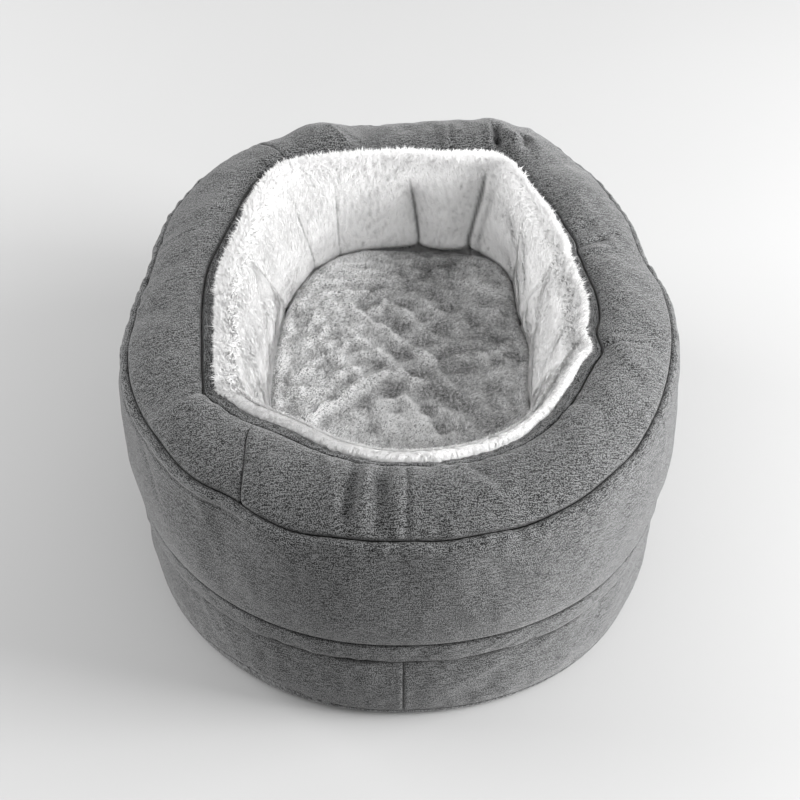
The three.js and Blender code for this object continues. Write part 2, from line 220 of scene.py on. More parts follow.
def curve(knots, count, crowd=0.0):
    """`count` points on the soft curve through the knots: each span is the cubic whose slope at a
    knot is half the way between that knot's neighbours. The points are even, or as crowd goes to
    1 closer together at both ends, like (1 - cos) / 2. Each column comes back as one row, which
    broadcasts over the directions round the bed."""
    knots = np.array(knots, float)
    start, end = knots[:-1], knots[1:]
    before = np.vstack([2 * knots[0] - knots[1], knots[:-2]])
    after = np.vstack([knots[2:], 2 * knots[-1] - knots[-2]])
    t = np.linspace(0, 1, 16, endpoint=False)[:, None, None]
    m0, m1 = (end - before) / 2, (after - start) / 2
    span = ((2 * t**3 - 3 * t**2 + 1) * start + (t**3 - 2 * t**2 + t) * m0
            + (3 * t**2 - 2 * t**3) * end + (t**3 - t**2) * m1)
    path = np.vstack([span.transpose(1, 0, 2).reshape(-1, knots.shape[1]), knots[-1:]])
    run = np.concatenate([[0], np.cumsum(np.linalg.norm(np.diff(path[:, -2:], axis=0), axis=1))])
    even = np.linspace(0, 1, count)
    even = run[-1] * mix(even, (1 - np.cos(np.pi * even)) / 2, crowd)
    return np.array([np.interp(even, run, column) for column in path.T])[:, None]


def normals(grid, closed):
    """Unit normals of a grid of points: the cross product of its two differences.
    The grid runs anticlockwise seen from above, then down the outside, so they point outwards."""
    if closed:
        along = np.roll(grid, -1, 0) - np.roll(grid, 1, 0)
    else:
        along = np.gradient(grid, axis=0)
    across = np.gradient(grid, axis=1)
    normal = np.cross(across, along)
    return normal / np.maximum(np.linalg.norm(normal, axis=2, keepdims=True), 1e-9)


def lift(grid, height, closed=True):
    """Moves each point of a grid along its normal by height."""
    return grid + normals(grid, closed) * height[..., None]


def gathered(distance, reach):
    """Puckers start beside a seam and fade out: exp(-d / reach) x (1 - exp(-d / 1.5))."""
    return np.exp(-distance / reach) * (1 - np.exp(-distance / 1.5))


places = np.random.default_rng(1).uniform(0, 500, (4000, 2))
print("noise spread:", round(float(soft_noise(places, 20, 2).std()), 2))

# %% [markdown]
# ## From a grid to a mesh
# A ring of cloth is a loft: one section is carried round the bed, and the section closes on
# itself through the padding, so each piece is one closed body. The UV map holds the distance
# along and across the cloth in metres, so that a weave follows the way the cloth was cut.

# %% Mesh helpers
METRES = 0.001


def new_piece(name, points, faces, uv=None):
    """A mesh object from points in mm and a list of face arrays. uv has one row a face corner."""
    mesh = bpy.data.meshes.new(name)
    corners = np.concatenate([f.ravel() for f in faces])
    sizes = np.concatenate([np.full(len(f), f.shape[1]) for f in faces])
    mesh.vertices.add(len(points))
    mesh.vertices.foreach_set("co", (points * METRES).astype(np.float32).ravel())
    mesh.loops.add(len(corners))
    mesh.loops.foreach_set("vertex_index", corners.astype(np.int32))
    mesh.polygons.add(len(sizes))
    mesh.polygons.foreach_set("loop_start", (np.cumsum(sizes) - sizes).astype(np.int32))
    mesh.update(calc_edges=True)
    mesh.shade_smooth()
    if uv is not None:
        mesh.uv_layers.new(name="cloth").data.foreach_set("uv", uv.astype(np.float32).ravel())
    piece = bpy.data.objects.new(name, mesh)
    bpy.context.scene.collection.objects.link(piece)
    print(name, "has", int((sizes - 2).sum()), "triangles")
    return piece


def grid_corners(rows, columns):
    """The four corners of every cell of a grid, as pairs of row and column numbers."""
    i, j = (a.ravel() for a in np.meshgrid(np.arange(rows), np.arange(columns), indexing="ij"))
    return [(i, j), (i, j + 1), (i + 1, j + 1), (i + 1, j)]


def cloth_run(grid):
    """Distance along and across the cloth at each grid point, in metres: the steps along one row
    are added up, and so are the steps down each column."""
    middle = grid[:, grid.shape[1] // 3]
    along = np.concatenate([[0], np.cumsum(np.linalg.norm(np.diff(middle, axis=0), axis=1))])
    steps = np.linalg.norm(np.diff(grid, axis=1), axis=2)
    across = np.concatenate([np.zeros((len(grid), 1)), np.cumsum(steps, axis=1)], axis=1)
    return np.stack([np.broadcast_to(along[:, None], across.shape), across], axis=2) * METRES


def ring_piece(name, face, back):
    """A closed ring: face[i, j] is the side that shows, back[i, j] closes the section behind it."""
    grid = np.concatenate([face, back], axis=1)
    n, m = grid.shape[:2]
    corners = grid_corners(n, m)
    quads = np.stack([(i % n) * m + j % m for i, j in corners], 1)
    run = cloth_run(np.pad(grid, ((0, 1), (0, 1), (0, 0)), mode="wrap"))
    return new_piece(name, grid.reshape(-1, 3), [quads], np.stack([run[i, j] for i, j in corners], 1))


def fan(rim, hub):
    """Triangles from each step of a closed rim of point numbers to one hub."""
    return np.stack([rim, np.roll(rim, -1), np.full(len(rim), hub)], 1)


def open_piece(name, face, back):
    """A closed body that ends at two cuts: a loft like ring_piece, with a fan over each end.
    Its UV is the plan, because the panel was cut from cloth that lay flat, with each row of
    points pulled straight: the first point's distance from the middle plus the run across."""
    grid = np.concatenate([face, back], axis=1)
    n, m = grid.shape[:2]
    quads = np.stack([i * m + j % m for i, j in grid_corners(n - 1, m)], 1)
    points = np.concatenate([grid.reshape(-1, 3), grid[[0, -1]].mean(1)])
    ends = [fan(np.arange(m)[::-1], n * m), fan((n - 1) * m + np.arange(m), n * m + 1)]
    faces = [quads, *ends]
    outward = grid[..., :2] / np.linalg.norm(grid[..., :2], axis=2, keepdims=True)
    flat = grid[:, :1, :2] + outward * cloth_run(grid)[..., 1:] / METRES
    uv = np.concatenate([flat.reshape(-1, 2), points[-2:, :2]]) * METRES
    return new_piece(name, points, faces, uv[np.concatenate([f.ravel() for f in faces])])


def disc_piece(name, grid, low, top):
    """A closed body round two poles: grid[i, j] goes from beside the top pole, over the side, to
    beside the low pole. Its UV is the plan."""
    n, m = grid.shape[:2]
    quads = np.stack([(i % n) * m + j for i, j in grid_corners(n, m - 1)], 1)
    points = np.concatenate([grid.reshape(-1, 3), [top, low]])
    rows = np.arange(n) * m
    faces = [quads, fan(rows, n * m), fan(rows[::-1] + m - 1, n * m + 1)]
    uv = points[np.concatenate([f.ravel() for f in faces]), :2] * METRES
    return new_piece(name, points, faces, uv)


def dress(piece, node):
    """The piece goes under the root body, and the solid of that node, which it stands for, is hidden."""
    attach(piece, "root")
    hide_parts(node)


# %% [markdown]
# ## Seams
# In the groove of a seam the cloth is pressed and the thread lies in shadow, and that shadow is
# painted into the colour, almost black however the light falls. Each piece of cloth carries the
# painted shade as a number at its points, and the inner wall carries it along its creases. Below 0
# the same number paints a highlight.

# %% Seam shade
def shade_seams(piece, shade):
    """Stores the painted seam shade at each point: 1, painted shade, in the groove of a seam or crease,
    0 on open cloth, and below 0 a painted highlight on a seam allowance and where the binding faces
    the light. shade[i, j] belongs to the side that shows; the points behind it stay 0."""
    total = len(piece.data.vertices)
    values = np.zeros(total, np.float32)
    columns = total // len(shade)
    values[:columns * len(shade)].reshape(len(shade), columns)[:, :shade.shape[1]] = np.clip(shade, -1, 1)
    piece.data.attributes.new("painted_seam_shade_and_highlight", "FLOAT", "POINT").data.foreach_set("value", values)


# %% [markdown]
# ## Where the pieces meet inside
# Inside the padding the ring's pieces meet on one line, the core, half way between the two
# seams of the top. Nobody sees it, but each piece is closed there, with a small gap between them.

# %% The core and the foot of the wall
def core(angle, out, up):
    """The core's point, moved a little towards the piece that it closes."""
    radius = mix(mouth_radius(angle), rim_radius(angle), CORE_SHARE)
    return place(angle, radius + out, CORE_Z + up)


def foot_radius(angle):
    """Half way between the well and the base, where the ring stands on the base."""
    return (well_radius(angle) + base_radius(angle)) / 2


RING_STEPS = 720
RING = np.arange(RING_STEPS) * 360 / RING_STEPS

# %% [markdown]
# ## The top panels
# Two panels make the ring's top. They meet at two cross seams, front left and back left. The
# filling crowns them, and the cloth rolls down into every seam. A seam that is gathered pulls
# the cloth into small puckers, and a dog's paws leave soft dents. The crown is the arch
# (4s(1-s))^CROWN_FULLNESS over the share s of the way across, and dents and folds are lifts along
# the normals.

# %% Top panels
CROWN_HEIGHT, CROWN_FULLNESS = 14, 0.68
# direction, up, spread
CROWN_BULGES = [(109, 8, 8), (99, -8, 5), (88, -3, 6), (74, 5, 8), (66, 5, 5), (17, -4, 5),
                (-89.5, 1, 1.8), (-93, -4.5, 2.2), (-97, 1, 1.5), (-99.3, -3.5, 1.6),
                (-102.5, 1, 2), (-141, 2, 8)]
FRONT_SEAM = {"mouth": 232.2, "rim": 240.2}
BACK_SEAM = {"mouth": 120.8, "rim": 123.3}
# x1, y1, x2, y2, up, wide
TOP_FOLDS = [
    (-64, -220, -58, -262, 2.6, 5), (-40, -218, -50, -269, -3, 4.5), (-30, -232, -39, -285, 3, 4.5),
    (-20, -235, -21, -280, -3, 5), (-6, -237, -5, -287, 2.6, 5), (6, -226, 5, -292, -2.2, 2.2),
    (62, -221, 87, -242, -1.8, 6), (72, -242, 92, -260, 1.2, 6), (-198, -123, -182, -120, -1.6, 2.2),
    (-245, 79, -207, 92, 0.7, 3), (-232, 16, -196, 28, 0.7, 3), (201, -60, 249, -52, -0.9, 2.5),
    (-76, 246, -62, 229, 2.4, 3), (-62, 229, -48, 218, 2.4, 3), (-68, 250, -40, 226, -1.5, 5),
    (-88, 236, -83, 206, -1.2, 6), (15, 255, 11, 221, -1.5, 6), (36, 254, 41, 216, -1.8, 2.5),
    (45, 254, 48, 216, 1.6, 3), (53, 252, 54, 216, -1.6, 2.5), (66, 259, 69, 221, -0.8, 4),
    (100, 247, 101, 226, -7, 4.5), (101, 226, 103, 206, -7, 4.5), (93, 248, 94, 210, 2.5, 3),
    (113, 239, 119, 228, 4.5, 5), (119, 228, 121, 212, 3, 5), (129, 238, 133, 232, -3, 3),
    (133, 236, 130, 222, -2.5, 3),
    (142, 232, 146, 205, 1.5, 6), (177, 67, 204, 80, -4, 3.5), (170, 84, 188, 96, -4, 10),
    (181, 57, 203, 65, 3, 4), (206, 84, 216, 88, -1.2, 2.5), (184, -77, 196, -72, -2.4, 3),
    (192, -72, 244, -66, -1.2, 2), (-238, -149, -226, -132, -0.8, 3), (-118, -206, -70, -216, -1, 3),
    (-182, -134, -205, -128, -1.4, 2), (-183, -136, -214, -150, -1, 2.5), (-140, -236, -145, -262, 1, 4),
]
# x1, y1, x2, y2, how dark, wide: painted shade along creases so sharp that no light gets into them
TOP_CREASES = [
    (100, 246, 101, 226, 0.3, 3), (101, 226, 103, 212, 0.25, 3.5), (129, 238, 132, 226, 0.25, 2.5),
    (172, 66, 188, 70, 0.6, 1.8), (188, 70, 203, 79, 0.35, 1.6),
    (183, -77, 194, -73, 0.4, 1.3), (-181, -133, -203, -131, 0.3, 1.2), (6, -232, 5, -284, 0.35, 1.1),
    (62, -221, 72, -231, 0.3, 2), (-198, -123, -184, -121, 0.35, 1.3), (42, 252, 44, 218, 0.2, 2),
]
TOP_ROWS = 50
PUCKER = 0.55


def mouth_shade(angle):
    """Painted shade in the opening's seam, which is open and dark at the left and the front, and
    closed at the back.
    """
    angle = turn_from(angle, 0)
    dark = 0.35 + 0.55 * smooth(-angle, 50, 80) + 0.4 * smooth(angle, 140, 165)
    return dark - 0.3 * smooth(angle, 30, 50) * smooth(-angle, -140, -120)


def top_panel(name, first, last, columns, seed):
    """A grid over (run, share): run goes from one cross seam to the other and share from the
    opening to the outer seam, closer together at both edges."""
    share = (1 - np.cos(np.linspace(0, np.pi, TOP_ROWS))) / 2
    run = np.linspace(0, 1, columns)[:, None]
    at_first = mix(first["mouth"], first["rim"], share)[None, :]
    at_last = mix(last["mouth"], last["rim"], share)[None, :]
    half_gap = np.degrees(GAP / 2 / TOP_REACH)
    angle = mix(at_first + half_gap, at_last - half_gap, run)
    inner, outer = mouth_radius(angle) + GAP / 2, rim_radius(angle)
    radius = mix(inner, outer, share)
    arch = (4 * share * (1 - share)) ** CROWN_FULLNESS
    crown = CROWN_HEIGHT + bulges(angle, CROWN_BULGES)
    z = mix(MOUTH_Z, RIM_Z + seam_wave(angle), share) + crown * arch
    grid = place(angle, radius, z)
    to_rim, to_mouth = (1 - share) * (outer - inner), share * (outer - inner)
    to_cut = np.minimum(angle - at_first, at_last - angle) * np.pi / 180 * radius
    flat = grid[..., :2]
    height = folds(flat[..., 0], flat[..., 1], TOP_FOLDS) * np.minimum(1, arch * 1.4)
    height += 0.7 * soft_noise(flat, 60, seed) * arch
    height += 0.28 * soft_noise(flat, 22, seed + 1) * arch
    arc = np.stack([np.radians(angle) * TOP_REACH, radius / 4], -1)
    puckers = gathered(to_rim, 9) + gathered(to_mouth, 7)
    uneven = np.clip(0.5 + 0.5 * soft_noise(arc, 90, seed + 3), 0, 1.4)
    height += PUCKER * soft_noise(arc, 14, seed + 2) * puckers * 1.6 * uneven
    closed_till = np.where(angle > 180, 0.45, 0.1)
    cross_seam = np.exp(-((np.maximum(to_cut, 0) / 1.5) ** 1.5))
    cross_seam = cross_seam * smooth(share, closed_till - 0.2, closed_till)
    height -= 1.6 * cross_seam
    height += 0.5 * bell(to_cut - 5, 3) * arch
    height -= 1.1 * bell(to_rim, 1.1) + 1.1 * bell(to_mouth, 1.2)
    grid = lift(grid, height, closed=False)
    low = place(angle[:, :1], inner[:, :1], MOUTH_Z - 4)
    piece = open_piece(name, grid, np.concatenate([core(angle[:, -1:], 0, GAP), low], axis=1))
    # painted shade in the sharp creases, the outer seam, the opening's seam and the cross seams
    shade = folds(flat[..., 0], flat[..., 1], TOP_CREASES) + rim_shade(angle) * bell(to_rim, 0.75)
    shade_seams(piece, shade + mouth_shade(angle) * bell(to_mouth, 1.1) + 0.5 * cross_seam**2)
    return piece


long_end = {key: value + 360 for key, value in BACK_SEAM.items()}
short_panel = top_panel("top_panel_short_cloth", BACK_SEAM, FRONT_SEAM, 260, 11)
long_panel = top_panel("top_panel_long_cloth", FRONT_SEAM, long_end, 540, 21)
dress(short_panel, "top_panel_short")
dress(long_panel, "top_panel_long")

# %% [markdown]
# ## The side panel
# One long strip of cloth goes round the ring. It bulges over the base, and its lower edge rolls
# in to the closing strip. From the left to the front left the seam allowance of the top seam shows
# through as a narrow band. The radius goes softly from the outer seam's outline to the base's on the way
# down, plus a section that is the same all round.

# %% Side panel
# out, z
SIDE_SECTION = [(0, 264.6), (3.2, 263.4), (6.6, 259.5), (9.6, 248), (11, 225), (10.5, 195),
                (8.5, 170), (6, 150), (4, 138), (1.5, 129.8), (-5, 126.3)]
SIDE_ROWS = 60
ALLOWANCE_FOOT = 254
# along in degrees at the top and at the foot, top height, foot height, out, wide in mm
SIDE_FOLDS = [
    (-146, -138, 246, 205, -0.9, 5), (-128, -122, 250, 190, 0.8, 7), (-75, -66, 240, 180, -0.7, 9),
    (-52, -58, 235, 185, 0.8, 8), (-30, -33, 250, 200, 0.7, 7), (-96, -99, 250, 215, 0.6, 6),
    (40, 46, 248, 190, -1, 7), (75, 72, 250, 200, 0.9, 8), (118, 122, 245, 185, -0.9, 7),
    (160, 155, 250, 200, 0.8, 8), (10, 6, 246, 190, -0.8, 7), (-170, -176, 245, 180, -0.8, 8),
]


def side_radius(angle, z):
    """From the outer seam's outline at the top seam to the base's outline at the closing strip."""
    return mix(rim_radius(angle), base_radius(angle), smooth(RIM_Z - z, 0, RIM_Z - STRIP_TOP))


angle = RING[:, None]
out, z = curve(SIDE_SECTION, SIDE_ROWS, 0.8)
below_rim = RIM_Z - z
grid = place(angle, side_radius(angle, z) + out, z + seam_wave(angle) * smooth(z, 235, 264))
body = smooth(z, STRIP_TOP, 150) * smooth(below_rim, 0, 12)
height = (0.8 * soft_noise(grid, 90, 31) + 0.3 * soft_noise(grid, 30, 32)) * body
for top, foot, high, low, depth, wide in SIDE_FOLDS:
    down = np.clip((high - z) / (high - low), 0, 1)
    ends = smooth(high + 12 - z, 0, 22) * smooth(z - low + 12, 0, 22)
    turn = turn_from(angle, mix(top, foot, down))
    height = height + depth * bell(np.radians(turn) * SIDE_REACH, wide) * ends
height += 0.8 * soft_noise(place(angle, SIDE_REACH, z / 3), 11, 33) * gathered(below_rim, 8)
left_front = smooth(angle, 165, 180) * smooth(-angle, -250, -236)
height += left_front * (1.3 * bell(z - 259.5, 2.4) - 1.8 * bell(z - ALLOWANCE_FOOT, 1.2))
height -= 1.1 * bell(below_rim, 1.1)
# painted shade in the outer seam's groove
shade = rim_shade(angle) * bell(below_rim, 0.7)
# painted shade under the seam allowance's edge, and a painted highlight on its band
shade += left_front * (0.8 * bell(z - ALLOWANCE_FOOT, 1) - 0.7 * bell(z - 259, 2.6))
# painted shade in the seam above the closing strip
shade += 0.8 * bell(z - 126.3, 1.2)
grid = lift(grid, height)
under = place(angle, base_radius(angle) - 5, BASE_TOP + GAP)
foot = place(angle, foot_radius(angle) + GAP / 2, BASE_TOP + GAP)
behind = np.concatenate([under, foot, core(angle, GAP, 0)], axis=1)
side_panel = ring_piece("side_panel_cloth", grid, behind)
shade_seams(side_panel, shade)
dress(side_panel, "side_panel")

# %% [markdown]
# ## The binding
# A folded strip of the same cloth covers the edge between the top and the wall. It is a flat
# roll. Its width follows a table round the opening, because the fur falls over it at the back.
# Towards the right it is painted paler, a highlight where the light falls, most of all near its outer edge.

# %% Binding
# out from the opening's seam, height from it
BINDING_SECTION = [(-0.3, -1.2), (-1.3, -0.1), (-2.6, 0.1), (-4.4, -0.4), (-6.4, -0.6), (-8, -1.4),
                   (-8.6, -2.8), (-8.2, -4.6)]
BINDING_ROWS = 15
BINDING_FULL = 8.6
out, z = curve(BINDING_SECTION[::-1], BINDING_ROWS)
grid = place(angle, mouth_radius(angle) + out * binding_share(angle), MOUTH_Z + z)
height = 0.35 * soft_noise(grid, 9, 41) + 0.3 * soft_noise(grid, 26, 42)
grid = lift(grid, height * smooth(-out, 0.3, 2.5))
under = place(angle, mouth_radius(angle) - 0.3, MOUTH_Z - 4.4)
binding = ring_piece("opening_binding_cloth", grid, under)
# painted shade in the groove at its outer edge, and a painted highlight towards the right
to_right = smooth(np.cos(np.radians(angle)), -0.2, 0.5)
shade_seams(binding, 0.5 * bell(out + 0.3, 0.5) - to_right * (0.5 + 0.5 * bell(out + 1.6, 1)))
dress(binding, "opening_binding")

# %% [markdown]
# ## The inner wall
# The wall is a deep sheet of long pale pile over thick filling. It curves down and in from the
# binding to the cushion, and creases run down it where the filling folds. A crease is a sharp
# fold in a wider soft hollow, across a line from its place at the rim to its place at the foot.

# %% Inner wall
# share of the way from the opening's outline to the well's, out, z
WALL_SECTION = [(0, -9, 282.2), (0, -10.5, 288), (0, -15, 291), (0.1, -17, 286), (0.3, -14, 269),
                (0.55, -9, 244), (0.8, -5, 214), (0.97, -1, 188), (1, 0, 175), (1, 0, 163),
                (1, 0, 155), (1, 1, 149), (1, 5, 143), (1, 10, 136), (1, 12, 128), (1, 12, 101.4)]
# direction at the rim, at the foot, depth in mm, width of the sharp part in degrees, start height
WALL_CREASES = [(88, 85, 10, 1, 262), (65.5, 71, 11, 1.2, 287), (62, 68, 3, 2.4, 270),
                (125.5, 117.5, 5, 0.8, 280), (110, 108, 4, 0.8, 275), (158, 137, 5, 0.8, 290),
                (20, 37, 4, 1.3, 288), (-26, -13, 4, 1.2, 288), (-55, -57, 4, 1.4, 280),
                (-98, -95, 4, 1.4, 280), (-141, -134, 4, 1.4, 280), (46, 52, 3, 1.2, 270)]
CREASE_TOP, CREASE_FOOT, CREASE_FADE = 283, 160, 60
WALL_ROWS = 66
WALL_PILE_DEPTH = 1.2


def creases(angle, z, profile):
    """Sum of depth x fade x profile(turn, width), with the turn taken from a line that goes from
    the crease's place at the rim to its place at the foot; it deepens over CREASE_FADE mm."""
    down = np.clip((CREASE_TOP - z) / (CREASE_TOP - CREASE_FOOT), 0, 1)
    total = 0
    for rim, foot, depth, width, start in WALL_CREASES:
        turn = turn_from(angle, mix(rim, foot, down))
        total = total + depth * smooth(start - z, 0, CREASE_FADE) * profile(turn, width)
    return total


def crease_depth(angle, z):
    """0.6 exp(-|turn| / width), the fold itself, plus 0.4 bell(turn, 4.5 width), the roundness of
    the filling on both sides."""
    return creases(angle, z, lambda turn, width: 0.6 * np.exp(-np.abs(turn) / width)
                   + 0.4 * bell(turn, 4.5 * width))


def near_crease(angle, z, reach, deep):
    """The creases with the profile bell(turn, reach x width), over deep, a depth in mm."""
    return creases(angle, z, lambda turn, width: bell(turn, reach * width)) / deep


lean, out, z = curve(WALL_SECTION[::-1], WALL_ROWS)
freed = BINDING_FULL * (1 - binding_share(angle)) * smooth(z, 240, 280)
radius = mix(mouth_radius(angle), well_radius(angle), lean) + out + freed + crease_depth(angle, z)
wall_grid = place(angle, radius, z)
shown = smooth(z, 135, 165) * smooth(292 - z, 0, 14)
height = (0.6 * soft_noise(wall_grid, 50, 51) + 0.15 * soft_noise(wall_grid, 20, 52)) * shown
wall_grid = lift(wall_grid, height - WALL_PILE_DEPTH * smooth(z, 130, 150))
foot = place(angle, foot_radius(angle) - GAP / 2, BASE_TOP + GAP)
ledge_z = MOUTH_Z - 5.2
under_binding = mouth_radius(angle) - (BINDING_FULL + 0.1) * binding_share(angle)
ledge = np.concatenate([place(angle, mouth_radius(angle), ledge_z),
                        place(angle, under_binding, ledge_z)], axis=1)
behind = np.concatenate([ledge[:, ::-1], core(angle, -GAP, 0), foot], axis=1)
inner_wall = ring_piece("inner_wall_pile_backing", wall_grid, behind)
# painted shade along the creases, for the backing's colour
shade_seams(inner_wall, near_crease(angle, z, 0.4, 9) * shown)
dress(inner_wall, "inner_wall")

# %% [markdown]
# ## The closing strip and the base
# After stuffing, a narrow strip closes the ring underneath. Below it sits the base: one band of
# cloth round the outside, joined at the front by an upright seam, and a bottom panel that is
# turned up a little to meet it.

# %% Closing strip
STRIP_SECTION = [(-4.6, 126), (-0.6, 126), (0.9, 123), (1.3, 118), (1.3, 109), (0.8, 104), (0, 101.7),
                 (-4.6, 101.3)]
out, z = curve(STRIP_SECTION, 20)
grid = place(angle, base_radius(angle) + out, z)
height = (0.4 * soft_noise(grid, 40, 61) + 0.25 * soft_noise(grid, 14, 62)) * smooth(out, -1, 1)
inside = place(angle, base_radius(angle) + STRIP_SECTION[0][0], np.array([[109.0, 118.0]]))
strip = ring_piece("closure_strip_cloth", lift(grid, height), inside)
# painted shade in the seam above the strip and in the undercut below it
shade_seams(strip, 0.9 * np.maximum(bell(z - STRIP_TOP, 1.4), smooth(-z, -104, -102)) + 0 * angle)
dress(strip, "closure_strip")

# %% Base band and bottom panel
BAND_SECTION = [(-12, 100.6), (-9, 98), (-5, 91), (-2.5, 70), (-1.5, 48), (-2.5, 28), (-4.5, 12.15)]
BAND_SEAM_AT = -89.5
# how far out the base band's padding begins, as a share of the base's outline, and its top
BASE_CORE, FILLING_TOP = 0.72, BASE_TOP - 0.4


def turned_up(angle):
    """At the front left the bottom panel is pulled further up: 14 mm more at its highest."""
    return 14 * bell(turn_from(angle, -120), 12)


def crowded(angle, at):
    """Turns that stand closer round one direction: angle - 0.8 d exp(-(d / 6)^2), d from it."""
    far = turn_from(angle, at)
    return angle - 0.8 * far * bell(far, 6)


band_turns = crowded(angle, BAND_SEAM_AT)
out, z = curve(BAND_SECTION, 34)
turned = turned_up(band_turns) * (1 - smooth(z, BOTTOM_SEAM, 50))
grid = place(band_turns, base_radius(band_turns) + out + 0.12 * turned, z + turned)
seam_far = np.abs(np.radians(turn_from(band_turns, BAND_SEAM_AT)) * BAND_REACH)
body = smooth(z, BOTTOM_SEAM, 24) * smooth(BASE_TOP - z, 0, 10)
height = (0.7 * soft_noise(grid, 70, 71) + 0.3 * soft_noise(grid, 20, 72)) * body
puckers = 0.4 * soft_noise(place(band_turns, BAND_REACH, z / 3), 10, 73)
height += puckers * gathered(z - BOTTOM_SEAM, 6)
height += (0.5 * bell(seam_far - 3.5, 2.5) - 1.3 * bell(seam_far, 1)) * body
grid = lift(grid, height)
middle = place(band_turns, base_radius(band_turns) * BASE_CORE + GAP, FILLING_TOP)
band = ring_piece("base_band_cloth", grid, middle)
# painted shadow under the closing strip, deepest at the front
under = smooth(z, 88, 94) * (0.45 + 0.55 * bell(turn_from(band_turns, -90), 40))
# painted shade in the upright seam, under the strip and in the bottom seam
shade_seams(band, 0.8 * bell(seam_far, 0.8) + under + 0.8 * bell(z - 12.1, 1.2))
dress(band, "base_band")

BOTTOM_EDGE = [(-4.5, 11.85), (-6, 6), (-10, 1.8), (-17, 0)]
OUTER_RING, INNER_RING = 0.94, 0.06
out, z = curve(BOTTOM_EDGE, 14)
turned = turned_up(angle) * smooth(z, 2, BOTTOM_SEAM)
rolled_edge = place(angle, base_radius(angle) + out + 0.12 * turned, z + turned)
inward = np.linspace(OUTER_RING, INNER_RING, 12)[None]
floor_side = place(angle, (base_radius(angle) + BOTTOM_EDGE[-1][0]) * inward, 0)
filling_side = place(angle, base_radius(angle) * BASE_CORE * inward[:, ::-1] / OUTER_RING, FILLING_TOP)
bottom_grid = np.concatenate([filling_side, rolled_edge, floor_side], axis=1)
centre = np.array([-MIDDLE[0], -MIDDLE[1], 0.0])
bottom = disc_piece("bottom_panel_cloth", bottom_grid, centre, centre + [0, 0, FILLING_TOP])
# painted shade in the bottom seam
shade_seams(bottom, 0.8 * bell(bottom_grid[..., 2] - BOTTOM_SEAM, 1.2))
dress(bottom, "bottom_panel")

# %% [markdown]
# ## The floor cushion
# It is a filled pillow, not a slab: a cover of short plush round loose fibre. Its form starts a
# little small. The cover is remeshed evenly and Blender's cloth blows it up from inside, with
# gravity off and a cap on how far a point may move. Then the ridges and hollows of the loose
# cover are pressed in from two tables, as a pillow has whose filling has gathered in lumps.

# %% Floor cushion: the starting form
# out from the well's outline, z, from the bottom edge over the side to the top edge
CUSHION_EDGE = [(-22, 101.4), (-6, 103), (4, 109), (10, 120), (12, 130), (12, 139), (10, 147),
                (5, 152), (-4, 155)]
CUSHION_TOP, CUSHION_CROWN, CUSHION_PILE_DEPTH = 155, 7, 1
CUSHION_FLOOR, FLOOR_INSET, TOP_INSET = 101.4, 22, 8
SMALLER = 2
# x1, y1, x2, y2, up, wide
COVER_RIDGES = [
    (-118, 121, -86, 94, 3.5, 5), (-82, 117, -55, 106, 2.5, 5), (-55, 104, -17, 66, 3.5, 5),
    (-17, 66, 20, 33, 3, 6), (-31, 100, -19, 111, 3, 4), (-19, 111, -6, 102, 3, 4),
    (-6, 102, 12, 88, 2.5, 5), (-81, 77, -62, 76, 2.5, 4), (-62, 76, -50, 66, 2.5, 4),
    (-102, 60, -87, 59, 3, 4), (-87, 59, -80, 51, 2.5, 4), (-59, 51, -45, 53, 3, 3.5),
    (-45, 53, -34, 47, 3, 3.5), (-40, 33, -24, 33, 2.5, 4), (-24, 33, 14, -5, 3.5, 6),
    (-93, -50, -45, -12, 4, 6), (-45, -12, -18, 7, 4, 6), (-66, 8, -53, 14, 3, 4),
    (-53, 14, -42, 5, 3, 4), (-18, 7, -6, 2, 2, 5), (4, -35, 34, -80, 3.5, 7),
    (4, -35, -24, -38, 2.5, 6), (-10, -60, 10, -66, 2.5, 16), (22, 30, 30, 26, 3, 7),
    (62, 34, 84, 33, 2, 5), (84, 33, 104, 46, 2.5, 5), (80, 146, 104, 138, 2, 12),
    (-110, 167, -30, 164, 2.5, 4), (-112, 151, -20, 150, 2.5, 4), (-114, 133, -40, 131, 2.2, 4),
    (-95, 179, -40, 176, 2, 3), (-100, 16, -88, 18, 2, 6), (-62, 32, -70, 34, 2, 5),
    (30, 104, 42, 98, 2, 4), (56, 90, 60, 66, 1.5, 5), (20, 76, 34, 60, 2, 4),
    (-110, -6, -92, -8, 1.5, 6), (96, 8, 112, 16, 1.5, 5), (40, 2, 46, -4, 1.5, 4),
]
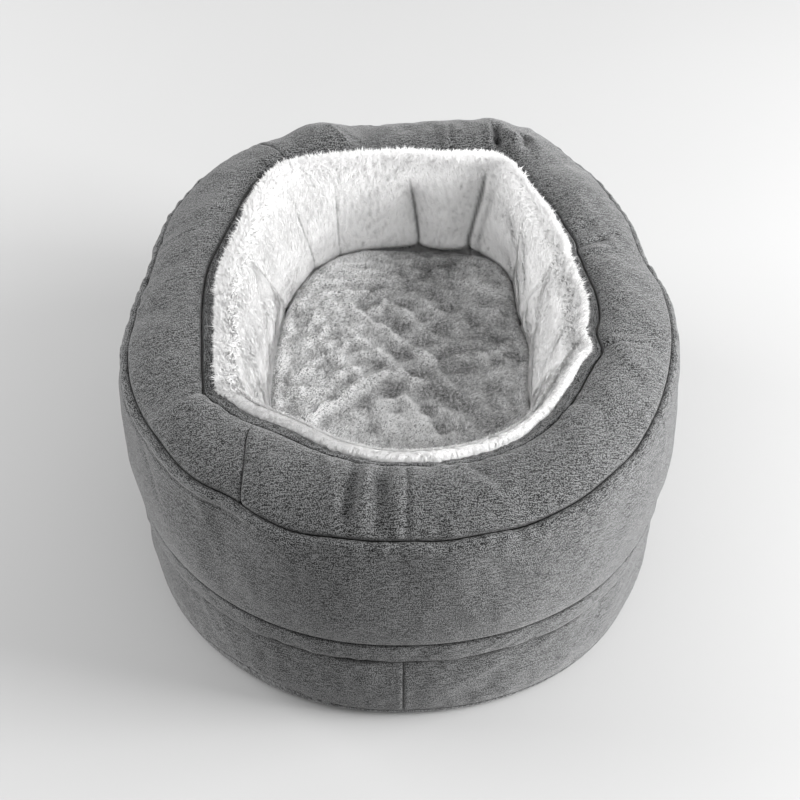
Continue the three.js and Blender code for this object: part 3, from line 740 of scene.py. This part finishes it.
# x, y, down, spread
COVER_HOLLOWS = [
    (-5, 75, 4, 10), (5, 110, 3.5, 8), (30, 127, 3.5, 9), (50, 108, 3.5, 9), (27, 92, 2.5, 7),
    (42, 75, 4, 10), (18, 55, 3, 8), (0, 38, 4, 10), (48, 38, 3, 9), (72, 45, 3, 9), (97, 68, 3.5, 9),
    (95, 31, 3, 8), (70, 18, 3, 10), (75, 87, 3, 9), (17, 8, 3.5, 10), (50, 17, 2.5, 8),
    (-8, -12, 4.5, 10), (-29, 22, 3.5, 8), (-38, 113, 2.5, 9), (-72, 67, 3, 8), (-90, 46, 3, 8),
    (-51, 43, 3, 5), (-76, 24, 3, 9), (-52, -3, 3.5, 7), (-71, -24, 3, 8), (-71, -51, 3, 8),
    (-115, 105, 2.5, 7), (-104, 89, 2.5, 7), (-118, 70, 2.5, 8), (-33, -68, 3, 8), (-40, -30, 2.5, 7),
    (34, -16, 3, 12), (50, -24, 3, 12), (25, -45, 4, 9), (38, -68, 4, 9), (62, -36, 3, 10),
    (95, -8, 3, 9), (90, -54, 3, 12), (120, 42, 2.5, 9), (25, 177, 3, 9), (50, 178, 3, 9),
    (25, 159, 2.5, 6), (0, 162, 2.5, 5), (52, 142, 3, 6), (-22, 90, 1.5, 6), (-62, 90, 1.5, 8),
    (114, 125, 2, 7), (86, 118, 2, 8), (-30, 142, 2, 8), (10, 138, 2, 8), (-82, 141, 2, 7),
]

cushion_turns = (np.arange(240) * 1.5)[:, None]
inward = np.linspace(0.06, 0.93, 20)[None]
well = well_radius(cushion_turns)
crown = CUSHION_TOP - SMALLER + CUSHION_CROWN * (1 - inward**2)
top_rings = place(cushion_turns, (well - TOP_INSET - SMALLER) * inward, crown)
out, z = np.array(CUSHION_EDGE)[::-1].T[:, None]
side_rings = place(cushion_turns, well + out - SMALLER, z - SMALLER * smooth(z, 120, 150))
floor_rings = place(cushion_turns, (well - FLOOR_INSET - SMALLER) * inward[:, ::-1], CUSHION_FLOOR)
start_grid = np.concatenate([top_rings, side_rings, floor_rings], axis=1)
low_pole = centre + [0, 0, CUSHION_FLOOR]
top_pole = centre + [0, 0, CUSHION_TOP + CUSHION_CROWN - SMALLER]
cushion = disc_piece("floor_cushion_cover", start_grid, low_pole, top_pole)

# %% [markdown]
# ## Blowing the cushion up
# The cloth simulation needs an even mesh, so a voxel remesh comes first. Only the result is kept:
# each point moves where the cloth went, but at most by the cap.

# %% Floor cushion: remesh and cloth
VOXEL, PRESSURE, FRAMES, CAP = 0.005, 4, 20, 7


def baked_mesh(piece):
    """The piece's mesh as its modifiers leave it."""
    graph = bpy.context.evaluated_depsgraph_get()
    return bpy.data.meshes.new_from_object(piece.evaluated_get(graph))


def mesh_points(mesh):
    """The mesh's points as an array, in mm."""
    flat = np.zeros(len(mesh.vertices) * 3, np.float32)
    mesh.vertices.foreach_get("co", flat)
    return flat.reshape(-1, 3).astype(float) / METRES


def set_points(mesh, points):
    """Writes an array of points in mm back into the mesh."""
    mesh.vertices.foreach_set("co", (points * METRES).astype(np.float32).ravel())
    mesh.update()


def swap_mesh(piece, mesh):
    """Gives the piece another mesh and drops its modifiers."""
    piece.modifiers.clear()
    piece.data = mesh
    mesh.shade_smooth()


remesh = cushion.modifiers.new("even_mesh", "REMESH")
remesh.mode = "VOXEL"
remesh.voxel_size = VOXEL
swap_mesh(cushion, baked_mesh(cushion))
before = mesh_points(cushion.data)
cloth = cushion.modifiers.new("blown_up", "CLOTH")
cloth.settings.use_pressure = True
cloth.settings.uniform_pressure_force = PRESSURE
cloth.settings.effector_weights.gravity = 0
for number in range(1, FRAMES + 1):
    bpy.context.scene.frame_set(number)
moved = mesh_points(baked_mesh(cushion)) - before
cushion.modifiers.clear()
far = np.linalg.norm(moved, axis=1, keepdims=True)
set_points(cushion.data, before + moved * np.minimum(1, CAP / np.maximum(far, 1e-6)))
print("the cloth moved by up to", round(float(far.max()), 1), "mm")
finer = cushion.modifiers.new("finer", "SUBSURF")
finer.levels = finer.render_levels = 1
swap_mesh(cushion, baked_mesh(cushion))
print("cushion points:", len(cushion.data.vertices))

# %% Floor cushion: ridges, hollows and its place in the well
EDGE_LIFT = 5
BACK_DROP = {"at": 84, "spread": 17, "down": 3.5}


def cover_rise(x, y):
    """How far the cover stands up or lies low: the ridges of one table, less the hollows of the
    other, down x exp(-(distance / spread)^3), wider from side to side, plus soft noise. Noise
    also moves the places of both, so that none is straight or round."""
    flat = np.stack([x, y], -1)
    x, y = x + 1.4 * soft_noise(flat, 20, 84), y + 1.2 * soft_noise(flat, 16, 85)
    hollows = sum(down * np.exp(-((np.hypot((x - at_x) / 1.35, y - at_y) / spread) ** 3))
                  for at_x, at_y, down, spread in COVER_HOLLOWS)
    return 1.6 * folds(x, y, COVER_RIDGES) - 1.3 * hollows + 0.8 * soft_noise(flat, 20, 83)


points = mesh_points(cushion.data)
x, y, z = points.T
turn = direction(x, y)
reach = np.hypot(x + MIDDLE[0], y + MIDDLE[1])
share = reach / well_radius(turn)
on_top = smooth(z, 138, 150) * smooth(1 - share, 0.0, 0.1)
rise = cover_rise(x, y)
back = bell(turn_from(turn, BACK_DROP["at"]), BACK_DROP["spread"]) * smooth(share, 0.82, 1)
z = z + on_top * (rise - CUSHION_PILE_DEPTH) - BACK_DROP["down"] * back * smooth(z, 138, 150)
z = z + EDGE_LIFT * smooth(share, 0.88, 0.97) * smooth(z, 134, 147) * (1 - back)
wall_foot = np.array(WALL_SECTION[:7:-1])
wall_out = np.interp(z, wall_foot[:, 2], wall_foot[:, 1])
limit = well_radius(turn) + wall_out + 0.7
shrink = np.minimum(1, limit / np.maximum(reach, 1))
x, y = (x + MIDDLE[0]) * shrink - MIDDLE[0], (y + MIDDLE[1]) * shrink - MIDDLE[1]
z = np.where(z < 106, np.maximum(BASE_TOP + 0.5, z), z)
set_points(cushion.data, np.stack([x, y, z], 1))
dress(cushion, "floor_cushion")
print("cushion top at", round(float(z.max()), 1), "mm")

# %% [markdown]
# ## Pile
# Plush is thousands of locks of fibre that lean the same way. Hair particles would show only in
# this file, so each lock is one slim triangle: two corners at the root and one at the tip. All
# the locks of a piece are worked out as arrays and joined in one mesh.
# Each point carries how far up the lock it is, and each lock a tone of its own.

# %% Pile: roots on a surface, and locks
def scatter_on_grid(grid, keep, count, seed):
    """`count` random roots on a closed grid, as many to each cell as its area times keep there.
    Returns the places, the normals, and the directions from one column to the next."""
    chance = np.random.default_rng(seed)
    once_more = ((0, 1), (0, 0), (0, 0))
    wide = np.pad(grid, once_more, mode="wrap")
    out = np.pad(normals(grid, True), once_more, mode="wrap")
    a, b = np.diff(wide[:, :-1], axis=0), np.diff(wide[:-1], axis=1)
    area = np.linalg.norm(np.cross(a, b), axis=2) * keep
    cell = chance.choice(area.size, count, p=area.ravel() / area.sum())
    i, j = cell // area.shape[1], cell % area.shape[1]
    u, v = chance.uniform(size=(2, count, 1))
    place_at = mix(mix(wide[i, j], wide[i + 1, j], u), mix(wide[i, j + 1], wide[i + 1, j + 1], u), v)
    along = wide[i, j + 1] - wide[i, j]
    return place_at, out[i, j], along / np.linalg.norm(along, axis=1, keepdims=True)


def unit(vectors):
    """Each row over its own length."""
    return vectors / np.maximum(np.linalg.norm(vectors, axis=-1, keepdims=True), 1e-9)


def locks(name, root, normal, lie, length, width, rise, tone, up_share):
    """One triangle a lock: two corners at the root, side = normal x lie apart, and the tip, which
    rises from the surface by the angle rise as it leans the way of lie. The shading normals are
    the surface's plus 0.2 of the lock's own, rolled a little to one side, plus up_share of
    straight up, because a real lock is round and pile lets the light from above through."""
    lie = unit(lie - (lie * normal).sum(1, keepdims=True) * normal)
    side = np.cross(normal, lie) * width[:, None] / 2
    rise = np.radians(rise)[:, None]
    tip = root + length[:, None] * (lie * np.cos(rise) + normal * np.sin(rise))
    points = np.stack([root - side, tip, root + side], 1).reshape(-1, 3)
    piece = new_piece(name, points, [np.arange(len(points)).reshape(-1, 3)])
    roll = 0.4 * np.random.default_rng(len(root)).normal(size=(len(root), 1))
    own = unit(normal * np.cos(rise) - lie * np.sin(rise) + unit(side) * roll)
    shading = np.repeat(unit(normal + 0.2 * own + [0, 0, up_share]), 3, axis=0)
    piece.data.normals_split_custom_set_from_vertices(shading.tolist())
    values = {"up_the_lock": np.tile([0, 1, 0], len(root)), "lock_tone": np.repeat(tone, 3)}
    for key, value in values.items():
        layer = piece.data.attributes.new(key, "FLOAT", "POINT")
        layer.data.foreach_set("value", value.astype(np.float32))
    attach(piece, "root")
    return piece


# %% [markdown]
# ## The wall's pile
# The long pale pile leans up the wall, and over the rim it falls outwards against the binding in
# loose spiky locks. Grey fibres show through in soft blotches, and beside a crease the locks are
# short. Round the rim they are longer, stand steeper and lean every way.

# %% The wall's pile
WALL_LOCKS, RIM_LOCKS = 165000, 26000
chance = np.random.default_rng(92)
keep = smooth(wall_grid[:, :, 2], 134, 142)[:, :-1]
root, normal, up_wall = scatter_on_grid(wall_grid, keep, WALL_LOCKS, 91)
sway = np.stack([soft_noise(root, 60, seed) for seed in (93, 94, 95)], 1)
lie = up_wall + 0.2 * sway + 0.18 * chance.normal(size=root.shape)
blotch = 0.4 * soft_noise(root, 26, 96) + soft_noise(root * [1, 1, 0.35], 4.5, 97)
turn = direction(root[:, 0], root[:, 1])
painted_crease_shade = near_crease(turn, root[:, 2], 0.4, 9)
beside = np.clip(near_crease(turn, root[:, 2], 1.3, 8), 0, 1)
at_left = smooth(-np.cos(np.radians(turn)), -0.1, 0.6)
speck = smooth(soft_noise(root, 9, 98) + 0.5 * soft_noise(root, 60, 99), 1.2, 2.4)
streaks = 0.025 + 0.075 * bell(turn - 92, 32)
# Painted shade: darker along the creases, on the upper left wall, which faces the lights, and at the foot
# of the back wall, where the gap to the cushion lies in shadow.
wall_tone = 0.97 + streaks * blotch + 0.02 * chance.normal(size=WALL_LOCKS) - painted_crease_shade
wall_tone -= 0.25 * speck * (1 - 0.6 * at_left) + 0.32 * at_left * smooth(root[:, 2], 175, 265)
wall_tone -= 0.9 * smooth(-root[:, 2], -148, -142) * bell(turn - 84, 18)
wall_pile = locks("inner_wall_pile", root, normal, lie,
                  chance.uniform(3.5, 6, WALL_LOCKS) * (1 - 0.65 * beside),
                  chance.uniform(0.7, 1.3, WALL_LOCKS), chance.normal(13, 5, WALL_LOCKS),
                  np.clip(wall_tone, 0, 1), 0.9)

crest = np.arange(WALL_ROWS - 1) / WALL_ROWS
keep = smooth(crest, 0.78, 0.89) * (crest < 0.975) + 0 * RING[:, None]
root, normal = scatter_on_grid(wall_grid, keep, RIM_LOCKS, 101)[:2]
lie = unit(root * [1, 1, 0]) + 0.7 * chance.normal(size=root.shape)
turn = direction(root[:, 0], root[:, 1])
tufted = (1 + 0.28 * soft_noise(root, 9, 102)) * (1 - 0.4 * bell(turn + 90, 45))
# painted shade: the rim's locks are darker at the front right and at the left, where the lights fall on
# them strongest
rim_tone = 0.94 - 0.46 * bell(turn + 22, 55) - 0.28 * bell(turn_from(turn, 172), 55)
rim_pile = locks("inner_wall_rim_pile", root, normal, lie, chance.uniform(4, 7, RIM_LOCKS) * tufted,
                 chance.uniform(0.7, 1.3, RIM_LOCKS), chance.normal(28, 11, RIM_LOCKS),
                 rim_tone + chance.uniform(-0.07, 0.07, RIM_LOCKS), 0.9)

# %% [markdown]
# ## The cushion's pile
# The cushion's plush is shorter and grey, with pale tips. Each lock's tone decides how much of
# its tip is pale, which gives the salt and pepper look. It leans to the right in soft swirls.

# %% The cushion's pile
CUSHION_LOCKS = 150000
chance = np.random.default_rng(111)
mesh = cushion.data
mesh.calc_loop_triangles()
triangles = np.zeros(len(mesh.loop_triangles) * 3, np.int32)
mesh.loop_triangles.foreach_get("vertices", triangles)
corner = mesh_points(mesh)[triangles.reshape(-1, 3)]
cross = np.cross(corner[:, 1] - corner[:, 0], corner[:, 2] - corner[:, 0])
seen = smooth(corner[:, :, 2].mean(1), 135, 143) * (cross[:, 2] > 0)
area = np.linalg.norm(cross, axis=1) * seen
pick = chance.choice(len(corner), CUSHION_LOCKS, p=area / area.sum())
share = np.sort(chance.uniform(size=(CUSHION_LOCKS, 2)), axis=1)
weight = np.stack([share[:, 0], share[:, 1] - share[:, 0], 1 - share[:, 1]], 1)
root = (corner[pick] * weight[:, :, None]).sum(1)
normal = unit(cross[pick])
swirl = 0.7 * soft_noise(root, 80, 112) - 0.4
lie = np.stack([np.cos(swirl), np.sin(swirl), 0 * swirl], 1) + 0.9 * chance.normal(size=root.shape)
stands = cover_rise(root[:, 0], root[:, 1])
grain = 0.6 * soft_noise(root * [1, 0.7, 1], 3.5, 113) + 0.9 * chance.normal(size=CUSHION_LOCKS)
# Painted light and shade: paler on the ridges and darker in the hollows, which is partly the pile parting
# over its dark roots, and painted light over the left half, which the lights reach over the wall.
lit = np.tanh(stands / 3.2)
tone = 0.52 + 0.26 * lit + grain * (0.12 - 0.08 * lit) + 0.37 * smooth(-root[:, 0], 5, 80)
cushion_pile = locks("floor_cushion_pile", root, normal, lie, chance.uniform(2.2, 3.6, CUSHION_LOCKS),
                     chance.uniform(0.6, 1, CUSHION_LOCKS), chance.normal(30, 10, CUSHION_LOCKS),
                     np.clip(tone, 0, 1), 0.0)

# %% [markdown]
# ## Finishes
# A small class wraps a shader socket, so that shader maths reads like Python. One method makes
# every other node: it takes the node's type, its settings, and what goes into its sockets.

# %% Shader helpers
class Value:
    """A number that varies over a surface. Operators add Math nodes."""

    def __init__(self, finish, socket):
        self.finish, self.socket = finish, socket

    def math(self, operation, *others):
        """One Math node with this value first."""
        inputs = dict(enumerate([self, *others]))
        return self.finish.node("ShaderNodeMath", {"operation": operation}, inputs)

    def __add__(self, other):
        return self.math("ADD", other)

    def __sub__(self, other):
        return self.math("SUBTRACT", other)

    def __mul__(self, other):
        return self.math("MULTIPLY", other)

    def __rsub__(self, other):
        return self.math("MULTIPLY", -1).math("ADD", other)

    def clamp(self):
        """Kept between 0 and 1."""
        return self.finish.node("ShaderNodeClamp", {}, {0: self})


class Finish:
    """A material and the one method that adds its nodes."""

    def __init__(self, name, roughness, sheen):
        self.material = bpy.data.materials.new(name)
        self.material.use_nodes = True
        self.tree = self.material.node_tree
        self.shader = next(n for n in self.tree.nodes if n.type == "BSDF_PRINCIPLED")
        self.shader.inputs["Roughness"].default_value = roughness
        self.shader.inputs["Sheen Weight"].default_value = sheen
        self.shader.inputs["Sheen Roughness"].default_value = 0.5
        self.shader.inputs["Specular IOR Level"].default_value = 0.2

    def node(self, kind, settings, inputs, output=0):
        """Makes a node, sets its settings, then fills its sockets with numbers or links."""
        made = self.tree.nodes.new(kind)
        for key, value in settings.items():
            setattr(made, key, value)
        for key, value in inputs.items():
            if isinstance(value, Value):
                self.tree.links.new(value.socket, made.inputs[key])
            else:
                made.inputs[key].default_value = value
        return Value(self, made.outputs[output])

    def carried(self, name):
        """A number that the mesh carries at its points."""
        return self.node("ShaderNodeAttribute", {"attribute_name": name}, {}, 2)

    def in_space(self):
        """The place in the object's own frame, in metres."""
        return self.node("ShaderNodeTexCoord", {}, {}, 3)

    def stretched(self, source, scale):
        """A vector with its axes scaled."""
        return self.node("ShaderNodeVectorMath", {"operation": "MULTIPLY"}, {0: source, 1: scale})

    def noise(self, source, scale, detail=2.0):
        """Noise on a vector whose axes are scaled, so that one unit is one blotch."""
        inputs = {"Vector": self.stretched(source, scale), "Scale": 1.0, "Detail": detail, "Roughness": 0.6}
        return self.node("ShaderNodeTexNoise", {"noise_dimensions": "3D"}, inputs)

    def blend(self, factor, low, high):
        """One colour, then the other as factor goes from 0 to 1."""
        inputs = {0: factor, 6: low, 7: high}
        return self.node("ShaderNodeMix", {"data_type": "RGBA"}, inputs, 2)

    def finish_with(self, piece, **sockets):
        """Links values into the shader and puts the material on the piece."""
        for key, value in sockets.items():
            self.tree.links.new(value.socket, self.shader.inputs[key.replace("_", " ")])
        self.wear(piece)

    def wear(self, piece):
        """Puts the material on the piece in place of any other."""
        piece.data.materials.clear()
        piece.data.materials.append(self.material)

    def bump(self, height, distance):
        """A Bump node for the shader's Normal."""
        inputs = {"Height": height, "Distance": distance, "Strength": 1.0}
        return self.node("ShaderNodeBump", {}, inputs)


def grey(level, warm=0.0):
    """A grey colour, a little warm or cool."""
    return (level * (1 + warm), level, level * (1 - warm), 1.0)


# %% [markdown]
# ## The outer cloth
# It is a plain weave of melange yarn: each thread has darker and lighter lengths, so short
# streaks run along the cloth, with fine grain over them. Five noises make it: streaks along the
# cloth for the weft, longer ones for its thick places, streaks across for the warp, grain, and
# soft clouds. All but the clouds follow the UV map.

# %% The outer cloth
DARK_YARN, LIGHT_YARN = 0.005, 0.17


def woven_cloth():
    """Melange cloth on the UV map called cloth, in metres."""
    finish = Finish("melange_cloth", 0.9, 0.25)
    cloth = finish.node("ShaderNodeUVMap", {"uv_map": "cloth"}, {})
    solid = finish.in_space()
    weft = finish.noise(cloth, (330, 950, 1), 1.0)
    slub = finish.noise(cloth, (100, 650, 1), 0.0)
    warp = finish.noise(cloth, (950, 330, 1), 1.0)
    grain = finish.noise(cloth, (1050, 1050, 1), 0.0)
    cloud = finish.noise(solid, (12, 12, 12), 2.0)
    seam = finish.carried("painted_seam_shade_and_highlight")
    # painted highlight where the seam number is below 0
    painted_highlight = (seam * -1).clamp() * 0.45
    tone = painted_highlight + weft * 3.6 + slub * 2.0 + warp * 3.0 + grain * 5.5 + cloud * 0.3 - 6.8
    open_cloth = finish.blend(tone.clamp(), grey(DARK_YARN, -0.015), grey(LIGHT_YARN, -0.01))
    # painted shade, near black, in the grooves of seams and creases
    colour = finish.blend((seam * 0.9).clamp(), open_cloth, grey(0.004))
    thread = weft * 0.6 + warp * 0.5 + grain * 0.6
    rough = (0.96 - tone * 0.1).clamp()
    return finish, {"Base_Color": colour, "Roughness": rough, "Normal": finish.bump(thread, 0.0006)}


finish, sockets = woven_cloth()
finish.finish_with(short_panel, **sockets)
for piece in (long_panel, side_panel, strip, band, bottom, binding):
    finish.wear(piece)

# %% [markdown]
# ## Pile and plush
# The cushion's backing is painted darker than its locks, as shade, because light hardly gets down
# there. The wall's is almost as pale as its locks, with painted shade that makes it dark only in the
# creases. Each lock goes from the root's colour to the tip's along its length, and its own tone
# shifts both.

# %% Pile finishes
def pile_finish(name, dark, pale, root_pull, warm):
    """Locks: from the dark to the pale colour by tone + root_pull x (up the lock - 1/2)."""
    finish = Finish(name, 0.85, 0.2)
    up = finish.carried("up_the_lock")
    tone = finish.carried("lock_tone")
    share = (tone + up * root_pull - root_pull / 2).clamp()
    colour = finish.blend(share, grey(dark, warm), grey(pale, warm))
    return finish, colour


def backing_finish(name, low, high, size, warm):
    """The cloth between the locks: blotches of two greys, with painted shade, far darker, along the
    creases that the mesh marks, and a fine bump."""
    finish = Finish(name, 0.95, 0.2)
    solid = finish.in_space()
    blotches = finish.noise(solid, (size, size, size), 3.0)
    fine = finish.noise(solid, (900, 900, 900), 1.0)
    open_pile = finish.blend((blotches * 2 + fine - 1.0).clamp(), grey(low, warm), grey(high, warm))
    crease = finish.carried("painted_seam_shade_and_highlight")
    # painted shade in the creases
    colour = finish.blend((crease * 0.9).clamp(), open_pile, grey(low / 5, warm))
    return finish, {"Base_Color": colour, "Normal": finish.bump(fine, 0.001)}


finish, colour = pile_finish("pale_fur_locks", 0.2, 0.97, 0.08, 0.003)
finish.finish_with(wall_pile, Base_Color=colour)
finish.wear(rim_pile)
finish, sockets = backing_finish("pale_fur_backing", 0.86, 0.94, 90, 0.003)
finish.finish_with(inner_wall, **sockets)
finish, colour = pile_finish("grey_plush_locks", 0.06, 0.95, 0.25, 0.0)
finish.finish_with(cushion_pile, Base_Color=colour)
# the cushion's backing is grey, and darker still than its locks as painted shade
finish, sockets = backing_finish("grey_plush_backing", 0.2, 0.3, 120, 0.0)
finish.finish_with(cushion, **sockets)

# %% [markdown]
# ## Floor and light
# A plain pale floor, soft light all round, three soft lights at the right, one above the other,
# and a fill at the left. The right side of the bed and the left half of the well are bright, and
# a wide soft shadow falls to the left.

# %% Floor and light
FLOOR_LOW, FLOOR_HIGH, WORLD_STRENGTH = 0.452, 0.467, 0.73
LIT_POINT = Vector((0, 0, 0.15))
# name, place, width, height, watts
LIGHTS = [("key_light", (2.45, -0.5, 0.9), 0.9, 1.3, 90),
          ("upper_light", (1.95, -0.2, 1.6), 1.1, 1.1, 36),
          ("low_light", (2.4, 0.1, 0.4), 0.8, 0.6, 30),
          ("left_fill", (-2.1, 0.5, 1.1), 1.4, 1.4, 50)]

bpy.ops.mesh.primitive_plane_add(size=12)
floor = bpy.context.object
floor.name = "studio_floor"
finish = Finish("pale_floor", 0.9, 0.0)
speck = finish.noise(finish.in_space(), (3, 3, 3), 2.0)
finish.finish_with(floor, Base_Color=finish.blend(speck, grey(FLOOR_LOW), grey(FLOOR_HIGH)))

world = bpy.data.worlds.new("soft_studio")
world.use_nodes = True
background = world.node_tree.nodes["Background"]
background.inputs["Color"].default_value = (1, 1, 1, 1)
background.inputs["Strength"].default_value = WORLD_STRENGTH
bpy.context.scene.world = world

for name, at, wide, high, power in LIGHTS:
    light = bpy.data.lights.new(name, "AREA")
    light.shape, light.size, light.size_y, light.energy = "RECTANGLE", wide, high, power
    lamp = bpy.data.objects.new(name, light)
    lamp.location = at
    lamp.rotation_euler = (LIT_POINT - Vector(at)).to_track_quat("-Z", "Y").to_euler()
    bpy.context.scene.collection.objects.link(lamp)
bpy.context.scene.view_settings.view_transform = "Standard"
